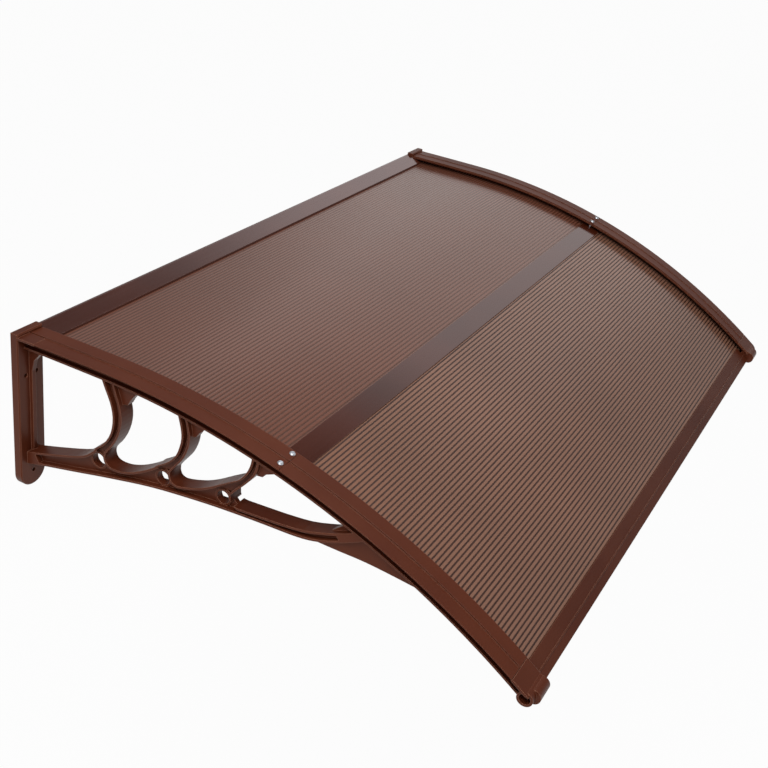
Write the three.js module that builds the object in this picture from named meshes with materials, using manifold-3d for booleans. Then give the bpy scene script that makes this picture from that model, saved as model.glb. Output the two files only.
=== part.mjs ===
// Arched door canopy: two moulded brackets, two twin-wall sheets, three cross bars,
// press strips on the arms and four clamp screws.
// Millimetres. The wall is the plane Y = 0, the canopy reaches out towards -Y, +X is to the
// right seen from the front, +Z is up. Z = 0 is just under the arm's top at the wall.
import * as THREE from "three";
import { mergeVertices } from "three/addons/utils/BufferGeometryUtils.js";
import ManifoldModule from "manifold-3d";

// Overall sizes
const WIDTH = 1200;            // over both brackets
const ARC_RADIUS = 1120;       // top of the press strips
const ARC_APEX = 146;          // the arm runs level from the wall to here, then curves down
const ARC_TOP = 8.7;           // height of the arch's crown
const LEVEL_SAG = 1;           // drop of the level part at the wall
const NOSE_DISTANCE = 782.5;   // from the wall to the middle of the round nose
// Arm section, as depths below the arc
const STRIP_THICK = 1.8;
const FLANGE_TOP = 2;
const FLANGE_THICK = 2.6;
const LOWER_FLANGE = 2.6;
const ARM_WIDTH = 48;
const RIB_WIDTH = 24;          // strut, scrolls and lower flange
const WEB_WIDTH = 7;
const RIM_THICK = 3;           // flanges round the bays and rims round the bores
// Wall plate
const PLATE_THICK = 12;
const PLATE_TOP = 12;
const PLATE_BOTTOM = -235;
const PLATE_EDGE = 1.6;        // chamfer along the front edges
const WALL_HOLE = 6.5;
// Sheets
const SHEET_THICK = 4.5;
const SHEET_TOP = 12.6;        // depth of the upper skin below the arc
const FLUTE_PITCH = 6.2;
const SKIN = 0.7;
const FLUTE_WALL = 0.6;
const SHEET_INSET = 28.2;      // from the outer edge of the arm to the sheet
const SHEET_PLAY = 0.3;        // between a sheet and the arm's lower flange
const ARM_DEPTH = SHEET_TOP + SHEET_THICK + SHEET_PLAY + LOWER_FLANGE;
// Bars
const BAR_INSET = 48.4;
const MID_DISTANCE = 423;
const MID_WIDTH = 36;
const FRONT_LIP = NOSE_DISTANCE - 19.1;
const FRONT_RIDGE = NOSE_DISTANCE - 2.9;
const FRONT_EDGE = NOSE_DISTANCE + 7.1;
const REAR_DEPTH = 32;
const BAR_WALL = 2;
// Fixings
const SCREW_HEAD = 8;
const SCREW_SHANK = 4;
const SCREW_OUTER = 11.9;
const SCREW_INNER = 39.2;
const NOSE_RADIUS = 10.6;
const NOSE_DEPTH = 9.5;
const NOSE_BORE = 7.4;
const NOSE_FACE = 5;           // the nose stands back from the outer edge
const FLANGE_INSET = 5;        // the outer strip overhangs the arm by this much
const STRIP_START = 40;        // the outer strips run from here to the end pad at the nose
const STRIP_END = NOSE_DISTANCE - 18.5;
const FIT = 0.2;               // play between pieces that rest on one another

const ARC_Y = -ARC_APEX;
const ARC_Z = ARC_TOP - ARC_RADIUS;
const RAD = Math.PI / 180;

const wasm = await ManifoldModule();
wasm.setup();

const moulded = new THREE.MeshStandardMaterial({ name: "moulded plastic", color: 0x54352a, roughness: 0.55 });
const bar = new THREE.MeshStandardMaterial({ name: "coated aluminium", color: 0x4e2f25, roughness: 0.4 });
const sheet = new THREE.MeshStandardMaterial({ name: "polycarbonate", color: 0x866759, roughness: 0.25 });
const zinc = new THREE.MeshStandardMaterial({ name: "zinc", color: 0xc9ccd2, roughness: 0.3, metalness: 1 });

// A solid for the boolean steps, welded by position only.
function solid(geometry) {
  const bare = new THREE.BufferGeometry();
  bare.setAttribute("position", geometry.getAttribute("position"));
  if (geometry.index) bare.setIndex(geometry.index);
  const welded = mergeVertices(bare, 1e-5);
  return new wasm.Manifold(new wasm.Mesh({
    numProp: 3,
    vertProperties: new Float32Array(welded.getAttribute("position").array),
    triVerts: new Uint32Array(welded.index.array),
  }));
}

function toGeometry(body) {
  const mesh = body.simplify(0.01).getMesh();
  const indexed = new THREE.BufferGeometry();
  indexed.setAttribute("position", new THREE.BufferAttribute(new Float32Array(mesh.vertProperties), 3));
  indexed.setIndex(new THREE.BufferAttribute(new Uint32Array(mesh.triVerts), 1));
  const flat = indexed.toNonIndexed();
  flat.computeVertexNormals();
  return flat;
}

function join(list) {
  return list.reduce((sum, next) => sum.add(next));
}

function cut(body, list) {
  return list.reduce((rest, next) => rest.subtract(next), body);
}

// Point of the side view, at a depth below the arc and an angle from the crown. The level part at
// the wall has angles below zero.
function onArc(depth, angle) {
  if (angle < 0) {
    const back = -ARC_RADIUS * angle;
    return new THREE.Vector2(ARC_Y + back, ARC_TOP - depth - LEVEL_SAG * (back / ARC_APEX) ** 2);
  }
  const r = ARC_RADIUS - depth;
  return new THREE.Vector2(ARC_Y - r * Math.sin(angle), ARC_Z + r * Math.cos(angle));
}

// Angle at which the arc, at a depth, is a distance out from the wall.
function angleAt(distance, depth = 0) {
  if (distance < ARC_APEX) return (distance - ARC_APEX) / ARC_RADIUS;
  return Math.asin((distance - ARC_APEX) / (ARC_RADIUS - depth));
}

function arcPoints(depth, from, to, step = 1) {
  const count = Math.max(1, Math.round(Math.abs(to - from) / (step * RAD)));
  return Array.from({ length: count + 1 }, (_, i) => onArc(depth, from + (to - from) * i / count));
}

// Points along a spline through side-view points given as distance from the wall and height.
function smooth(points, count) {
  const curve = new THREE.SplineCurve(points.map(([d, z]) => new THREE.Vector2(-d, z)));
  return curve.getPoints(count);
}

// Side-view outline extruded across the width, from x0 to x1.
function across(points, x0, x1, holes = []) {
  const shape = new THREE.Shape(points);
  shape.holes.push(...holes.map((hole) => new THREE.Path(hole)));
  const geometry = new THREE.ExtrudeGeometry(shape, { depth: x1 - x0, bevelEnabled: false, curveSegments: 1 });
  const turn = new THREE.Matrix4().makeBasis(
    new THREE.Vector3(0, 1, 0), new THREE.Vector3(0, 0, 1), new THREE.Vector3(1, 0, 0));
  geometry.applyMatrix4(turn);
  geometry.translate(x0, 0, 0);
  return geometry;
}

// The same for one bracket: u runs inwards from the outer edge of that side.
function slab(points, u0, u1, side, holes = []) {
  const x0 = side < 0 ? -WIDTH / 2 + u0 : WIDTH / 2 - u1;
  return solid(across(points, x0, x0 + u1 - u0, holes));
}

function arcBand(top, bottom, from, to, u0, u1, side) {
  return slab([...arcPoints(top, from, to), ...arcPoints(bottom, to, from)], u0, u1, side);
}

function disc(centre, radius, u0, u1, side, segments = 32) {
  const ring = Array.from({ length: segments }, (_, i) => {
    const a = 2 * Math.PI * i / segments;
    return new THREE.Vector2(centre.x + radius * Math.cos(a), centre.y + radius * Math.sin(a));
  });
  return slab(ring, u0, u1, side);
}

// Round hole through the arm, square to the arc.
function bore(u, angle, radius, top, bottom, side) {
  const body = new THREE.CylinderGeometry(radius, radius, bottom - top, 20);
  body.rotateX(Math.PI / 2);
  return solid(placeOnArc(body, u, (top + bottom) / 2, angle, side));
}

function placeOnArc(geometry, u, depth, angle, side) {
  const p = onArc(depth, angle);
  geometry.rotateX(angle);
  geometry.translate(side < 0 ? -WIDTH / 2 + u : WIDTH / 2 - u, p.x, p.y);
  return geometry;
}

const CENTRE = ARM_WIDTH / 2;
const STRIP_SPLIT = CENTRE - 0.6;
const RIB = [CENTRE - RIB_WIDTH / 2, CENTRE + RIB_WIDTH / 2];
const WEB = [CENTRE - WEB_WIDTH / 2, CENTRE + WEB_WIDTH / 2];
const ARM_FROM = angleAt(PLATE_THICK / 2);
const TIP = angleAt(NOSE_DISTANCE, NOSE_DEPTH);
const MID = angleAt(MID_DISTANCE, SHEET_TOP);
const SCREWED = MID - 4 / ARC_RADIUS;
const JOINT = MID + 1.5 / ARC_RADIUS;

// Side view below the arm, as distance from the wall and height. A scroll runs from the arm down to
// the strut, with an edge towards the wall and an edge towards the front.
const SCROLLS = [
  {
    back: [[143, -6], [150, -22], [157, -36], [161.5, -49], [163.5, -62], [162.5, -77], [158.5, -91],
      [151, -104], [142, -114], [132, -122]],
    front: [[162, -6], [168, -22], [174, -38], [177.5, -52], [178, -64], [176, -77], [171, -92],
      [163, -107], [156, -116], [150, -125]],
    ring: { at: [135.4, -142.5], bore: 10.8 },
    foot: [[162, -9], [199, -9], [195, -19], [187, -30], [183, -38], [172, -41]],
  },
  {
    back: [[266, -12], [270.5, -26], [273.5, -38], [274.5, -50], [272, -64], [266.5, -79], [257, -91],
      [245, -100.5], [234, -108]],
    front: [[280, -14], [285, -30], [287.5, -42], [287, -54], [284, -66], [278.5, -79], [271, -90],
      [263.5, -100], [257, -110]],
    ring: { at: [243.8, -125.7], bore: 10.2 },
    foot: [[280, -16], [309, -20], [303, -30], [297, -36], [293, -43], [284, -46]],
  },
  {
    back: [[381.5, -28], [381, -41], [378, -53], [372, -65], [364, -75], [352, -83], [339, -91.5], [328, -100]],
    front: [[392, -32], [391.5, -46], [388, -58], [381, -69], [372.5, -80], [362, -92], [354, -102]],
    ring: { at: [339, -115], bore: 9.3 },
    foot: [[389, -32], [418, -38], [411, -50], [400, -55], [395, -61], [387, -62]],
  },
];
// Upper edge of the strut along each bay, and its lower edge.
const STRUT_TOP = [
  [[6, -177], [30, -170], [65, -159], [100, -147], [118, -138], [131, -126], [139, -116.5]],
  [[153, -120], [151.3, -125], [151.6, -131], [154.5, -137], [161, -140.3], [172, -140.5], [184, -138],
    [200, -131.5], [218, -121], [232, -111], [242, -103]],
  [[259.8, -104.5], [259, -109], [259.2, -115], [262, -120.6], [268, -123.2], [277, -122], [289, -118.5],
    [305, -112.3], [322, -103], [336, -93.5]],
  [[353.6, -101.4], [354.3, -106], [354.8, -111], [358, -115.5], [364, -117.3], [380, -116.3], [405, -114.3],
    [430, -112], [462, -107.5], [490, -99], [515, -89], [545, -74]],
];
const STRUT_BOTTOM = [[6, -196], [46, -186], [100, -173], [155, -159.5], [230, -143], [305, -132.5],
  [355, -127.5], [405, -124], [455, -121], [485, -115], [515, -103], [552, -84]];
const GUSSET = [[470, -122], [510, -122], [548, -121.5], [590, -124], [640, -128.5]];
const WALL_HOLES = [[14, -54], [34, -54], [24, -211]];

function toVectors(points) {
  return points.map(([d, z]) => new THREE.Vector2(-d, z));
}

// Wall plate, seen from the front: square top, half-round foot, front edges eased.
function wallPlate(side) {
  const x0 = side < 0 ? -WIDTH / 2 : WIDTH / 2 - ARM_WIDTH;
  const outline = (inset) => {
    const shape = new THREE.Shape();
    const r = ARM_WIDTH / 2;
    shape.moveTo(inset, PLATE_TOP - inset);
    shape.lineTo(inset, PLATE_BOTTOM + r);
    shape.absarc(r, PLATE_BOTTOM + r, r - inset, Math.PI, 2 * Math.PI, false);
    shape.lineTo(ARM_WIDTH - inset, PLATE_TOP - inset);
    shape.closePath();
    return shape;
  };
  const plate = new THREE.ExtrudeGeometry(outline(PLATE_EDGE), {
    depth: PLATE_THICK - 2 * PLATE_EDGE, bevelEnabled: true, bevelSegments: 1, steps: 1,
    bevelSize: PLATE_EDGE, bevelThickness: PLATE_EDGE, curveSegments: 20,
  });
  plate.rotateX(Math.PI / 2);
  plate.translate(x0, -PLATE_EDGE, 0);
  const back = new THREE.ExtrudeGeometry(outline(0), { depth: 3, bevelEnabled: false, curveSegments: 20 });
  back.rotateX(Math.PI / 2);
  back.translate(x0, 0, 0);
  const holes = WALL_HOLES.map(([u, z]) => {
    const hole = new THREE.CylinderGeometry(WALL_HOLE / 2, WALL_HOLE / 2, PLATE_THICK * 3, 24);
    hole.translate(side < 0 ? -WIDTH / 2 + u : WIDTH / 2 - u, 0, z);
    return solid(hole);
  });
  return { body: solid(plate).add(solid(back)), holes };
}

// Polyline moved sideways, to the left of its direction.
function offset(points, distance) {
  return points.map((p, i) => {
    const along = points[Math.min(i + 1, points.length - 1)].clone().sub(points[Math.max(i - 1, 0)]).normalize();
    return new THREE.Vector2(p.x - along.y * distance, p.y + along.x * distance);
  });
}

function within(points, from, to) {
  return points.filter((p) => -p.x >= from && -p.x <= to);
}

// Strut and scrolls: a web with a flange round every bay, rings bored through the web.
function underArm(side) {
  const solids = [];
  const recesses = [];
  const lower = smooth(STRUT_BOTTOM, 44);
  const starts = [0, 116, 224, 318];
  const stops = [162, 270, 368, 600];
  STRUT_TOP.forEach((top, i) => {
    const upper = smooth(top, i === 0 ? 14 : 26);
    const under = within(lower, starts[i], stops[i]);
    solids.push([...upper, ...[...under].reverse()]);
    const ends = [Math.max(starts[i], 24), Math.min(stops[i], 518)];
    recesses.push([
      ...within(offset(upper, RIM_THICK), ...ends),
      ...within(offset(under, -RIM_THICK), ...ends).reverse(),
    ]);
  });
  SCROLLS.forEach(({ back, front }) => {
    const edges = [smooth(back, 16), smooth(front, 16)];
    solids.push([...edges[0], ...[...edges[1]].reverse()]);
    const inner = edges[0].map((p, i) => {
      const share = RIM_THICK / p.distanceTo(edges[1][i]);
      return [p.clone().lerp(edges[1][i], share), p.clone().lerp(edges[1][i], 1 - share)];
    });
    recesses.push([...inner.map(([a]) => a), ...[...inner].reverse().map(([, b]) => b)]);
  });
  const body = join(solids.map((outline) => slab(outline, RIB[0], RIB[1], side)));
  const carved = cut(body, recesses.flatMap((outline) => [
    slab(outline, RIB[0] - 1, WEB[0], side),
    slab(outline, WEB[1], RIB[1] + 1, side),
  ]));
  const extras = SCROLLS.flatMap(({ ring, foot }) => [
    disc(ringCentre(ring), ring.bore + RIM_THICK, WEB[0] - 2, WEB[1] + 2, side, 24),
    slab(toVectors(foot), WEB[0] - 2, WEB[1] + 2, side),
  ]);
  return join([carved, ...extras]);
}

function ringCentre(ring) {
  return new THREE.Vector2(-ring.at[0], ring.at[1]);
}

function bracket(side) {
  const plate = wallPlate(side);
  const nose = onArc(NOSE_DEPTH, TIP);
  const lobe = new THREE.Vector2(nose.x - 6, nose.y - 1.5);
  const pad = FLANGE_TOP + FLANGE_THICK / 2;
  const arm = [
    plate.body,
    arcBand(FLANGE_TOP, FLANGE_TOP + FLANGE_THICK, ARM_FROM, TIP, FLANGE_INSET, ARM_WIDTH, side),
    arcBand(FLANGE_TOP + 1, ARM_DEPTH - 1, ARM_FROM, TIP, WEB[0], WEB[1], side),
    arcBand(ARM_DEPTH - LOWER_FLANGE, ARM_DEPTH, ARM_FROM, TIP, RIB[0], RIB[1], side),
    arcBand(0, pad, ARM_FROM, angleAt(STRIP_START - 0.5), 0.8, STRIP_SPLIT, side),
    arcBand(0, pad, angleAt(STRIP_END + 0.5), TIP, 0.8, ARM_WIDTH - 0.8, side),
    disc(nose, NOSE_RADIUS, NOSE_FACE, ARM_WIDTH - 1.5, side),
    disc(lobe, NOSE_RADIUS, WEB[0] - 4, ARM_WIDTH - 1.5, side),
  ];
  // Everything below the arm ends inside its lower flange.
  const clear = arcBand(-30, ARM_DEPTH - LOWER_FLANGE + 0.8, ARM_FROM - 0.02, TIP, -1, ARM_WIDTH + 1, side);
  // Rib down the wall plate, flaring under the arm, and the web ahead of the strut.
  const rib = [[6, -6], [54, -6], [44, -13], [30, -19.5], [21, -31], [17, -48], [17, -192], [12, -198], [6, -198]];
  const gusset = [...smooth(GUSSET, 16), ...arcPoints(ARM_DEPTH - 1, angleAt(640, ARM_DEPTH), angleAt(520, ARM_DEPTH))];
  const below = join([
    slab(toVectors(rib), WEB[0], WEB[1], side),
    slab(gusset, WEB[0], WEB[1], side),
    underArm(side),
  ]);
  const holes = [
    ...plate.holes,
    ...SCROLLS.map(({ ring }) => disc(ringCentre(ring), ring.bore, 0, ARM_WIDTH, side, 24)),
    disc(nose, NOSE_BORE, -1, WEB[0], side),
    bore(SCREW_OUTER, SCREWED, SCREW_SHANK / 2 + FIT, -2, 12, side),
    bore(SCREW_INNER, SCREWED, SCREW_SHANK / 2 + FIT, -2, 12, side),
  ];
  return toGeometry(cut(join([...arm, below.subtract(clear)]), holes));
}

// Press strip: a flat bar with a low ridge along the edge next to the groove.
function pressStrip(from, to, u0, u1, ridge, side) {
  const body = arcBand(0, STRIP_THICK, from, to, u0, u1, side);
  const rail = arcBand(-0.7, 1, from, to, ridge, ridge + 1.4, side);
  const holes = [SCREW_OUTER, SCREW_INNER]
    .filter((u) => u > u0 && u < u1)
    .map((u) => bore(u, SCREWED, SCREW_SHANK / 2 + FIT, -3, 12, side));
  return toGeometry(cut(body.add(rail), holes));
}

// Twin-wall sheet, flutes running across the canopy.
function twinWall(from, to) {
  const low = SHEET_TOP + SHEET_THICK;
  const r = ARC_RADIUS - SHEET_TOP - SHEET_THICK / 2;
  const count = Math.floor((to - from) * r / FLUTE_PITCH);
  const step = (to - from) / count;
  const half = FLUTE_WALL / 2 / r;
  const outline = [...arcPoints(SHEET_TOP, from, to, step / RAD), ...arcPoints(low, to, from, step / RAD)];
  const holes = Array.from({ length: count }, (_, i) => [
    onArc(SHEET_TOP + SKIN, from + i * step + half),
    onArc(low - SKIN, from + i * step + half),
    onArc(low - SKIN, from + (i + 1) * step - half),
    onArc(SHEET_TOP + SKIN, from + (i + 1) * step - half),
  ]);
  const x = WIDTH / 2 - SHEET_INSET;
  const flutes = holes.map((hole) => solid(across(hole, -x - 1, x + 1)));
  return toGeometry(cut(solid(across(outline, -x, x)), flutes));
}

const ABOVE = SHEET_TOP - 0.3;                       // underside of the lips over the sheets
const BELOW = SHEET_TOP + SHEET_THICK + 0.4;         // upper side of the lips under the sheets
const LIP = 7 / ARC_RADIUS;                          // how far a sheet reaches into a bar

function rearBar() {
  const lip = angleAt(REAR_DEPTH, ABOVE);
  const slot = lip - LIP - 2 / ARC_RADIUS;
  const outline = [
    new THREE.Vector2(0, 8.5),
    new THREE.Vector2(-3, 8.5),
    new THREE.Vector2(-REAR_DEPTH, -1),
    ...arcPoints(ABOVE, lip, slot, 0.4),
    ...arcPoints(BELOW, slot, lip, 0.4),
    onArc(BELOW + BAR_WALL, lip),
    onArc(BELOW + BAR_WALL, angleAt(3, BELOW)),
    new THREE.Vector2(-3, -28),
    new THREE.Vector2(0, -28),
  ];
  const hollow = toVectors([[3, 5.6], [3, -8.4], [20, -8.4], [20, 0]]);
  return across(outline, -WIDTH / 2 + BAR_INSET, WIDTH / 2 - BAR_INSET, [hollow]);
}

// Joiner between the sheets: upper and lower flange with a web.
function midBar() {
  const half = MID_WIDTH / 2 / ARC_RADIUS;
  const web = 1.5 / ARC_RADIUS;
  const x = WIDTH / 2 - SHEET_INSET;
  const inner = WIDTH / 2 - BAR_INSET;
  const band = (top, bottom, from, to) =>
    [...arcPoints(top, from, to, 0.25), ...arcPoints(bottom, to, from, 0.25)];
  const upper = solid(across(band(ABOVE - BAR_WALL, ABOVE, MID - half, MID + half), -x, x));
  const middle = solid(across(band(ABOVE - 1, BELOW + 1, MID - web, MID + web), -inner, inner));
  const lower = solid(across(band(BELOW, BELOW + BAR_WALL, MID - half, MID + half), -inner, inner));
  const holes = [-1, 1].map((side) => bore(SCREW_INNER, SCREWED, SCREW_SHANK / 2 + FIT, 0, 14, side));
  return toGeometry(cut(join([upper, middle, lower]), holes));
}

function frontBar() {
  const top = ABOVE - BAR_WALL;
  const lip = angleAt(FRONT_LIP, ABOVE);
  const ridge = angleAt(FRONT_RIDGE, top);
  const edge = angleAt(FRONT_EDGE, top);
  const slot = lip + LIP + 2 / ARC_RADIUS;
  const wide = 1 / ARC_RADIUS;
  const outline = [
    ...arcPoints(top, lip, ridge - wide, 0.4),
    onArc(top - 1.2, ridge - wide),
    onArc(top - 1.2, ridge + wide),
    onArc(top, ridge + wide),
    onArc(top, edge),
    onArc(BELOW + 6, edge),
    onArc(BELOW + 6, edge - 2 * wide),
    onArc(BELOW + BAR_WALL, edge - 2 * wide),
    onArc(BELOW + BAR_WALL, lip),
    ...arcPoints(BELOW, lip, slot, 0.4),
    ...arcPoints(ABOVE, slot, lip, 0.4),
  ];
  return across(outline, -WIDTH / 2 + BAR_INSET, WIDTH / 2 - BAR_INSET);
}

// Pan-head screw with a cross recess.
function screw(u, side) {
  const length = u === SCREW_INNER ? SHEET_TOP - 0.4 : 9;
  const r = SCREW_HEAD / 2;
  const profile = [[0, -length], [SCREW_SHANK / 2, -length], [SCREW_SHANK / 2, 0.15], [r, 0.15], [r, 1.1],
    [r * 0.82, 2.1], [r * 0.5, 2.7], [0, 2.9]].map(([x, y]) => new THREE.Vector2(x, y));
  const body = new THREE.LatheGeometry(profile, 24);
  body.rotateX(Math.PI / 2);
  const slots = [0, 1].map((turn) => {
    const slot = new THREE.BoxGeometry(1.1, 5, 3);
    slot.translate(0, 0, 3.1);
    slot.rotateZ(turn * Math.PI / 2 + 0.5);
    return solid(slot);
  });
  const carved = toGeometry(cut(solid(body), slots));
  return placeOnArc(carved, u, 0, SCREWED, side);
}

const canopy = new THREE.Group();
canopy.name = "door_canopy";

function addPiece(name, geometry, material, group) {
  const mesh = new THREE.Mesh(geometry, material);
  mesh.name = name;
  group.add(mesh);
}

const SHEET_FROM = angleAt(REAR_DEPTH, SHEET_TOP) - LIP;
const MID_GAP = 2.2 / ARC_RADIUS;
const SHEET_TO = angleAt(FRONT_LIP, SHEET_TOP) + LIP;
const STRIP_ENDS = {
  outer: [angleAt(STRIP_START), angleAt(STRIP_END)],
  inner: [angleAt(PLATE_THICK + 0.6), angleAt(STRIP_END)],
};
const GAP = 0.25 / ARC_RADIUS;

[["left", -1], ["right", 1]].forEach(([name, side]) => {
  const group = new THREE.Group();
  group.name = `${name}_side`;
  addPiece(`${name}_bracket`, bracket(side), moulded, group);
  Object.entries(STRIP_ENDS).forEach(([row, [start, end]]) => {
    const [u0, u1] = row === "outer" ? [0.8, STRIP_SPLIT] : [ARM_WIDTH - STRIP_SPLIT, ARM_WIDTH - 0.8];
    const ridge = row === "outer" ? STRIP_SPLIT - 1.4 : ARM_WIDTH - STRIP_SPLIT;
    addPiece(`${name}_rear_${row}_strip`, pressStrip(start, JOINT - GAP, u0, u1, ridge, side), bar, group);
    addPiece(`${name}_front_${row}_strip`, pressStrip(JOINT + GAP, end, u0, u1, ridge, side), bar, group);
  });
  addPiece(`${name}_outer_screw`, screw(SCREW_OUTER, side), zinc, group);
  addPiece(`${name}_inner_screw`, screw(SCREW_INNER, side), zinc, group);
  canopy.add(group);
});
const roof = new THREE.Group();
roof.name = "roof";
addPiece("rear_bar", rearBar(), bar, roof);
addPiece("middle_bar", midBar(), bar, roof);
addPiece("front_bar", frontBar(), bar, roof);
addPiece("rear_sheet", twinWall(SHEET_FROM, MID - MID_GAP), sheet, roof);
addPiece("front_sheet", twinWall(MID + MID_GAP, SHEET_TO), sheet, roof);
canopy.add(roof);

export default canopy;
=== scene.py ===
import bpy
import math
from mathutils import Euler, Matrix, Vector

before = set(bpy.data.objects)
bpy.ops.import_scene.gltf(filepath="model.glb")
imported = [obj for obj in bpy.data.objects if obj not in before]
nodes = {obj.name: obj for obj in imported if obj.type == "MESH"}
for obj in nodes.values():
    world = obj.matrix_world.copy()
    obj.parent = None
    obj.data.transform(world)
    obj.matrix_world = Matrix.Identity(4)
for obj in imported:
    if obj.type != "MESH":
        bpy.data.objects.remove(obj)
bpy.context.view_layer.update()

# Sizes of the roof in metres, the same as in the CAD model: it runs level from the wall and then arches.
ARC_RADIUS = 1.120
LEVEL_END = 0.146
ARC_Z = 0.0087 - ARC_RADIUS
SHEET_TOP = 0.0126
SHEET_THICK = 0.0045
FLUTE_PITCH = 0.0062
REAR_LIP = 0.032
MIDDLE_BAR = 0.423
FRONT_LIP = 0.7634
SHEET_IN_LIP = 0.007
SHEET_GAP = 0.0022

# Tints of the gloss, as the brown coats and the brown sheet colour what they reflect.
BROWN_GLOSS = (1.0, 0.72, 0.6, 1.0)
ROSE_GLOSS = (1.0, 0.81, 0.81, 1.0)
SAND_GLOSS = (1.0, 0.76, 0.68, 1.0)

# Extrusion lines run along a bar (X) or along an arm (Y and Z).
ALONG_BAR = (0.02, 1.0, 1.0)
ALONG_ARM = (1.0, 0.02, 0.02)

# Edges that turn by more than this stay crisp.
CRISP_ANGLE = math.radians(28)

# Studio: the floor lies far below, nearly as white as the background; the world lights softly from all round.
FLOOR_Z = -1.6
FLOOR_WHITE = 0.96
WORLD_LIGHT = 0.28
ROOF_MIDDLE = (0, -0.4, -0.1)
LEFT_BRACKET = (-0.6, -0.4, -0.1)

# Camera as fitted to the photograph.
CAMERA_PLACE = (-1.61277, -1.01764, 0.73599)
CAMERA_TURN = (1.073885, -0.121463, -1.073056)
LENS_MM = 54.06
SENSOR_MM = 36.0


def linear(code):
    """Linear colour of an sRGB hex code."""
    parts = [int(code[i:i + 2], 16) / 255 for i in (1, 3, 5)]
    return (*(c / 12.92 if c <= 0.04045 else ((c + 0.055) / 1.055) ** 2.4 for c in parts), 1.0)


def per_metre(millimetres):
    """Noise scale that gives patches of this size."""
    return 1000.0 / millimetres


def add(tree, kind, inputs=None, out=0, stops=(), **settings):
    """Adds a node with its settings, values, links and colour stops, and gives one of its outputs."""
    node = tree.nodes.new(kind)
    for key, value in settings.items():
        setattr(node, key, value)
    for key, value in (inputs or {}).items():
        if isinstance(value, bpy.types.NodeSocket):
            tree.links.new(value, node.inputs[key])
        else:
            node.inputs[key].default_value = value
    for number, (place, colour) in enumerate(stops):
        if number >= len(node.color_ramp.elements):
            node.color_ramp.elements.new(place)
        node.color_ramp.elements[number].position = place
        node.color_ramp.elements[number].color = linear(colour)
    return node.outputs[out]


def new_material(name):
    mat = bpy.data.materials.new(name)
    mat.use_nodes = True
    return mat, mat.node_tree, mat.node_tree.nodes["Principled BSDF"]


def background_seen(tree):
    """1 for rays that see the background, straight, in a gloss or through glass; 0 for plain light."""
    path = add(tree, "ShaderNodeLightPath").node.outputs
    seen = add(tree, "ShaderNodeMath", {0: path["Is Glossy Ray"], 1: path["Is Transmission Ray"]}, operation="ADD")
    return add(tree, "ShaderNodeMath", {0: path["Is Camera Ray"], 1: seen}, operation="ADD", use_clamp=True)


def rounded_edges_painted_glint(tree, radius, colour, glint_colour, glint_amount):
    """Rounds the edges for the light and paints them a little paler, a painted highlight along the edges; gives
    the colour and the rounded normal.
    """
    soft = add(tree, "ShaderNodeBevel", {"Radius": radius}, samples=6)
    flat = add(tree, "ShaderNodeNewGeometry", out="Normal")
    turn = add(tree, "ShaderNodeVectorMath", {0: soft, 1: flat}, out="Value", operation="DOT_PRODUCT")
    # Painted highlight: where the rounded normal leans away from the flat one, the colour is mixed towards the
    # pale glint colour.
    edge_glint = add(tree, "ShaderNodeMapRange", {"Value": turn, "From Min": 0.99, "From Max": 0.86,
                                           "To Min": 0.0, "To Max": glint_amount})
    glint_painted_colour = add(tree, "ShaderNodeMix", {0: edge_glint, 6: colour, 7: linear(glint_colour)}, out=2, data_type="RGBA")
    return glint_painted_colour, soft


def moulded_abs():
    """Moulded ABS, brown: satin, with the fine spark-eroded grain of the mould and a slow drift of shade."""
    mat, tree, bsdf = new_material("moulded ABS, brown")
    where = add(tree, "ShaderNodeTexCoord", out="Object")
    drift = add(tree, "ShaderNodeTexNoise", {"Vector": where, "Scale": per_metre(110), "Detail": 3.0})
    # The real grain is about 0.1 mm; it is drawn at 0.7 mm so that it shows.
    grain = add(tree, "ShaderNodeTexNoise", {"Vector": where, "Scale": per_metre(0.7), "Detail": 2.0})
    colour = add(tree, "ShaderNodeValToRGB", {"Fac": drift}, stops=[(0.3, "#4F2213"), (0.7, "#5D2D1B")])
    # The paler edges of the moulding are a painted highlight.
    colour, soft = rounded_edges_painted_glint(tree, 0.0012, colour, "#9A6A55", 0.8)
    rough = add(tree, "ShaderNodeMapRange", {"Value": drift, "To Min": 0.34, "To Max": 0.46})
    bump = add(tree, "ShaderNodeBump", {"Height": grain, "Strength": 0.12, "Distance": 0.0003, "Normal": soft})
    tree.links.new(colour, bsdf.inputs["Base Color"])
    tree.links.new(rough, bsdf.inputs["Roughness"])
    tree.links.new(bump, bsdf.inputs["Normal"])
    bsdf.inputs["Specular IOR Level"].default_value = 0.22
    bsdf.inputs["Specular Tint"].default_value = BROWN_GLOSS
    return mat


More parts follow.
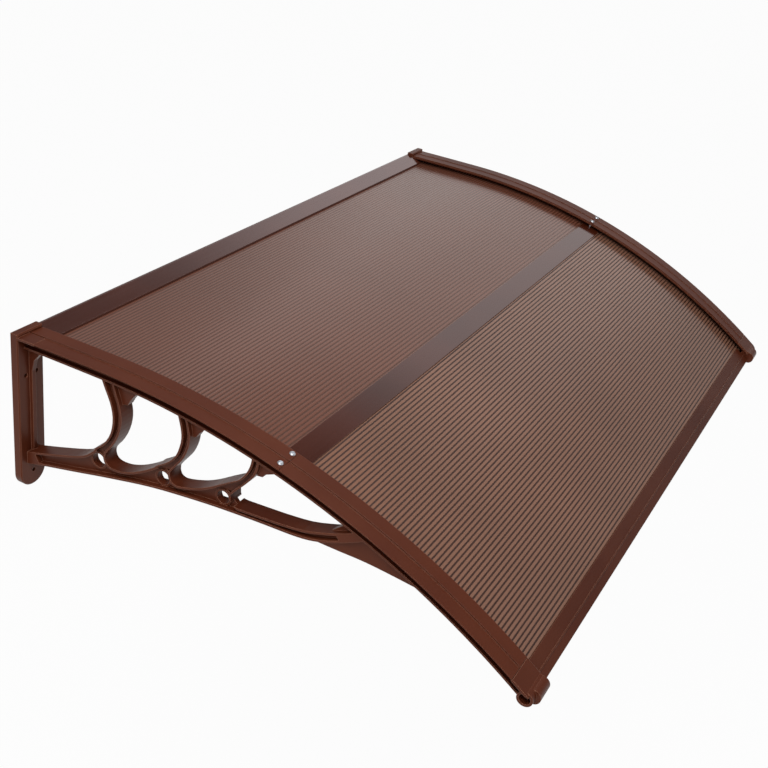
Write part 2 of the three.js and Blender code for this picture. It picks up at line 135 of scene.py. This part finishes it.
def coated_aluminium(name, dark, light, along, low, high, ior, gloss, tint, edge_glint):
    """Powder-coated aluminium extrusion, brown: faint die lines along the piece and a soft sheen."""
    mat, tree, bsdf = new_material(name)
    where = add(tree, "ShaderNodeTexCoord", out="Object")
    drawn = add(tree, "ShaderNodeMapping", {"Vector": where, "Scale": along})
    # Real die lines are some tenths of a millimetre apart; they are drawn at 2.4 mm so that they show.
    lines = add(tree, "ShaderNodeTexNoise", {"Vector": drawn, "Scale": per_metre(2.4), "Detail": 2.0})
    drift = add(tree, "ShaderNodeTexNoise", {"Vector": where, "Scale": per_metre(160), "Detail": 3.0})
    colour = add(tree, "ShaderNodeValToRGB", {"Fac": drift}, stops=[(0.3, dark), (0.7, light)])
    # The paler edges of the coat are a painted highlight.
    colour, soft = rounded_edges_painted_glint(tree, 0.0009, colour, "#8F6350", edge_glint)
    rough = add(tree, "ShaderNodeMapRange", {"Value": lines, "To Min": low, "To Max": high})
    bump = add(tree, "ShaderNodeBump", {"Height": lines, "Strength": 0.06, "Distance": 0.0003, "Normal": soft})
    tree.links.new(colour, bsdf.inputs["Base Color"])
    tree.links.new(rough, bsdf.inputs["Roughness"])
    tree.links.new(bump, bsdf.inputs["Normal"])
    bsdf.inputs["IOR"].default_value = ior
    bsdf.inputs["Specular IOR Level"].default_value = gloss
    bsdf.inputs["Specular Tint"].default_value = tint
    return mat


def twin_wall(name, span, dark, light, gloss, dull):
    """Extruded twin-wall polycarbonate, tinted brown: the walls between its flutes show as dark lines, which also
    carry painted shade along each wall.
    """
    start, end = span
    middle = ARC_RADIUS - SHEET_TOP - SHEET_THICK / 2
    pitch = (end - start) / math.floor((end - start) * middle / FLUTE_PITCH)
    mat, tree, bsdf = new_material(name)
    where = add(tree, "ShaderNodeTexCoord", out="Object")
    axes = add(tree, "ShaderNodeSeparateXYZ", {0: where}).node.outputs
    # Place along the roof as an angle of the arc; the level part counts on at the same rate.
    out = add(tree, "ShaderNodeMath", {0: axes["Y"], 1: -1.0, 2: -LEVEL_END}, operation="MULTIPLY_ADD")
    up = add(tree, "ShaderNodeMath", {0: axes["Z"], 1: ARC_Z}, operation="SUBTRACT")
    arched = add(tree, "ShaderNodeMath", {0: out, 1: 0.0}, operation="MAXIMUM")
    level = add(tree, "ShaderNodeMath", {0: out, 1: 0.0}, operation="MINIMUM")
    level = add(tree, "ShaderNodeMath", {0: level, 1: ARC_RADIUS}, operation="DIVIDE")
    angle = add(tree, "ShaderNodeMath", {0: arched, 1: up}, operation="ARCTAN2")
    angle = add(tree, "ShaderNodeMath", {0: angle, 1: level}, operation="ADD")
    flute = add(tree, "ShaderNodeMath", {0: angle, 1: 1 / pitch, 2: -start / pitch}, operation="MULTIPLY_ADD")
    phase = add(tree, "ShaderNodeMath", {0: flute}, operation="FRACT")
    turn = add(tree, "ShaderNodeMath", {0: phase, 1: math.pi}, operation="MULTIPLY")
    crown = add(tree, "ShaderNodeMath", {0: turn}, operation="SINE")
    # The dark stripes are the flute walls together with painted shade along each wall.
    stripe = add(tree, "ShaderNodeValToRGB", {"Fac": phase}, stops=[(0.0, dark), (0.13, dark), (0.26, light),
                                                                   (0.74, light), (0.87, dark)])
    drift = add(tree, "ShaderNodeTexNoise", {"Vector": where, "Scale": per_metre(200), "Detail": 4.0})
    shade = add(tree, "ShaderNodeValToRGB", {"Fac": drift}, stops=[(0.25, "#EAEAEA"), (0.75, "#FFFFFF")])
    colour = add(tree, "ShaderNodeMix", {0: 1.0, 6: stripe, 7: shade}, out=2, data_type="RGBA",
                 blend_type="MULTIPLY")
    rough = add(tree, "ShaderNodeMapRange", {"Value": crown, "From Min": 0.3, "From Max": 0.75,
                                             "To Min": dull, "To Max": 0.2})
    bump = add(tree, "ShaderNodeBump", {"Height": crown, "Strength": 0.25, "Distance": 0.0006})
    tree.links.new(colour, bsdf.inputs["Base Color"])
    tree.links.new(rough, bsdf.inputs["Roughness"])
    tree.links.new(bump, bsdf.inputs["Normal"])
    bsdf.inputs["Specular IOR Level"].default_value = gloss
    bsdf.inputs["Specular Tint"].default_value = SAND_GLOSS
    return mat


def bright_zinc():
    """Bright zinc plate on the steel screws: pale, slightly mottled, with a broad glint."""
    mat, tree, bsdf = new_material("zinc-plated steel, bright")
    where = add(tree, "ShaderNodeTexCoord", out="Object")
    spots = add(tree, "ShaderNodeTexNoise", {"Vector": where, "Scale": per_metre(1.1), "Detail": 3.0})
    colour = add(tree, "ShaderNodeValToRGB", {"Fac": spots}, stops=[(0.3, "#CDD2DA"), (0.7, "#F0F3F7")])
    rough = add(tree, "ShaderNodeMapRange", {"Value": spots, "To Min": 0.38, "To Max": 0.46})
    tree.links.new(colour, bsdf.inputs["Base Color"])
    tree.links.new(rough, bsdf.inputs["Roughness"])
    bsdf.inputs["Metallic"].default_value = 1.0
    return mat


def angle_at(distance):
    """Angle of the arc at this distance from the wall; negative on the level part."""
    if distance < LEVEL_END:
        return (distance - LEVEL_END) / ARC_RADIUS
    return math.asin((distance - LEVEL_END) / (ARC_RADIUS - SHEET_TOP))


rear_span = (angle_at(REAR_LIP) - SHEET_IN_LIP / ARC_RADIUS, angle_at(MIDDLE_BAR) - SHEET_GAP / ARC_RADIUS)
front_span = (angle_at(MIDDLE_BAR) + SHEET_GAP / ARC_RADIUS, angle_at(FRONT_LIP) + SHEET_IN_LIP / ARC_RADIUS)

bracket_abs = moulded_abs()
screw_zinc = bright_zinc()
# The last number is the strength of the painted edge highlight.
strip_coat = coated_aluminium("powder-coated aluminium, brown strip", "#502213", "#5D2C1A", ALONG_ARM,
                              0.38, 0.5, 1.5, 0.2, BROWN_GLOSS, 0.35)
finishes = {
    # The bars are one coat; the rear and middle bars take a darker copy of its colour, painted shade, with a
    # stronger gloss.
    "rear_bar": coated_aluminium("powder-coated aluminium, brown rear bar", "#3A160A", "#481F12", ALONG_BAR,
                                 0.14, 0.22, 1.8, 1.0, ROSE_GLOSS, 0.35),
    "middle_bar": coated_aluminium("powder-coated aluminium, brown middle bar", "#3A160A", "#481F12", ALONG_BAR,
                                   0.1, 0.16, 1.5, 0.95, ROSE_GLOSS, 0.35),
    "front_bar": coated_aluminium("powder-coated aluminium, brown front bar", "#4A1F11", "#572A1A", ALONG_BAR,
                                  0.34, 0.46, 1.5, 0.2, BROWN_GLOSS, 0.6),
    # Both sheets are one polycarbonate; their different stripe colours are painted light and shade.
    "rear_sheet": twin_wall("twin-wall polycarbonate, brown rear", rear_span, "#4F2A1B", "#744839", 0.75, 0.3),
    "front_sheet": twin_wall("twin-wall polycarbonate, brown front", front_span, "#34170C", "#8C6451", 0.6, 0.45),
}
for side in ("left", "right"):
    finishes[f"{side}_bracket"] = bracket_abs
    for place in ("outer", "inner"):
        finishes[f"{side}_{place}_screw"] = screw_zinc
        finishes[f"{side}_rear_{place}_strip"] = strip_coat
        finishes[f"{side}_front_{place}_strip"] = strip_coat

for name, piece in nodes.items():
    for slot in piece.material_slots:
        slot.material = finishes[name]
    if name.endswith("sheet"):
        continue
    piece.data.polygons.foreach_set("use_smooth", [True] * len(piece.data.polygons))
    crisp = piece.modifiers.new("crisp edges", "EDGE_SPLIT")
    crisp.split_angle = CRISP_ANGLE

# White floor, well below a canopy that hangs on a wall. It still takes a little of the canopy's shadow.
bpy.ops.mesh.primitive_plane_add(size=40, location=(0, 0, FLOOR_Z))
floor = bpy.context.object
floor.name = "floor"
white, tree, bsdf = new_material("matt white floor")
bsdf.inputs["Base Color"].default_value = (0.9, 0.9, 0.9, 1)
bsdf.inputs["Roughness"].default_value = 0.9
glow = add(tree, "ShaderNodeEmission", {"Color": (1, 1, 1, 1), "Strength": 1.0})
share = add(tree, "ShaderNodeMath", {0: background_seen(tree), 1: FLOOR_WHITE}, operation="MULTIPLY")
blend = add(tree, "ShaderNodeMixShader", {0: share, 1: bsdf.outputs[0], 2: glow})
tree.links.new(blend, tree.nodes["Material Output"].inputs["Surface"])
floor.data.materials.append(white)

# White studio. In the gloss it ends in a greyer ceiling, and is greyer beside the wall and in front.
scene = bpy.context.scene
scene.world = bpy.data.worlds.new("white studio")
scene.world.use_nodes = True
tree = scene.world.node_tree
strength = add(tree, "ShaderNodeMapRange", {"Value": background_seen(tree), "To Min": WORLD_LIGHT, "To Max": 1.0})
way = add(tree, "ShaderNodeSeparateXYZ", {0: add(tree, "ShaderNodeTexCoord", out="Generated")}).node.outputs
dimming = 1.0
for axis, begin, finish, first, last in (("Z", 0.54, 0.67, 1.0, 0.08), ("Y", 0.42, 0.56, 1.0, 0.38),
                                         ("Y", -0.3, -0.05, 0.45, 1.0)):
    fade = add(tree, "ShaderNodeMapRange", {"Value": way[axis], "From Min": begin, "From Max": finish,
                                            "To Min": first, "To Max": last}, interpolation_type="SMOOTHSTEP")
    dimming = add(tree, "ShaderNodeMath", {0: dimming, 1: fade}, operation="MULTIPLY")
gloss_ray = add(tree, "ShaderNodeLightPath", out="Is Glossy Ray")
plain = add(tree, "ShaderNodeMath", {0: 1.0, 1: gloss_ray}, operation="SUBTRACT")
dimming = add(tree, "ShaderNodeMath", {0: dimming, 1: plain}, operation="MAXIMUM")
strength = add(tree, "ShaderNodeMath", {0: strength, 1: dimming}, operation="MULTIPLY")
studio = tree.nodes["Background"]
studio.inputs["Color"].default_value = (1, 1, 1, 1)
tree.links.new(strength, studio.inputs["Strength"])


def softbox(name, place, aim, size, power):
    lamp = bpy.data.objects.new(name, bpy.data.lights.new(name, "AREA"))
    lamp.data.size = size
    lamp.data.energy = power
    lamp.location = place
    lamp.rotation_euler = (Vector(aim) - Vector(place)).to_track_quat("-Z", "Y").to_euler()
    bpy.context.collection.objects.link(lamp)


softbox("key", (-1.9, -0.9, 2.3), ROOF_MIDDLE, 1.4, 52)
softbox("fill", (-2.6, -0.5, 0.15), LEFT_BRACKET, 2.2, 8)
softbox("top", (0.5, -0.7, 2.6), ROOF_MIDDLE, 1.6, 18)

view = bpy.data.cameras.new("camera")
view.sensor_width = SENSOR_MM
view.lens = LENS_MM
camera = bpy.data.objects.new("camera", view)
camera.location = CAMERA_PLACE
camera.rotation_euler = Euler(CAMERA_TURN, "XYZ")
bpy.context.collection.objects.link(camera)
scene.camera = camera
scene.view_settings.view_transform = "Standard"
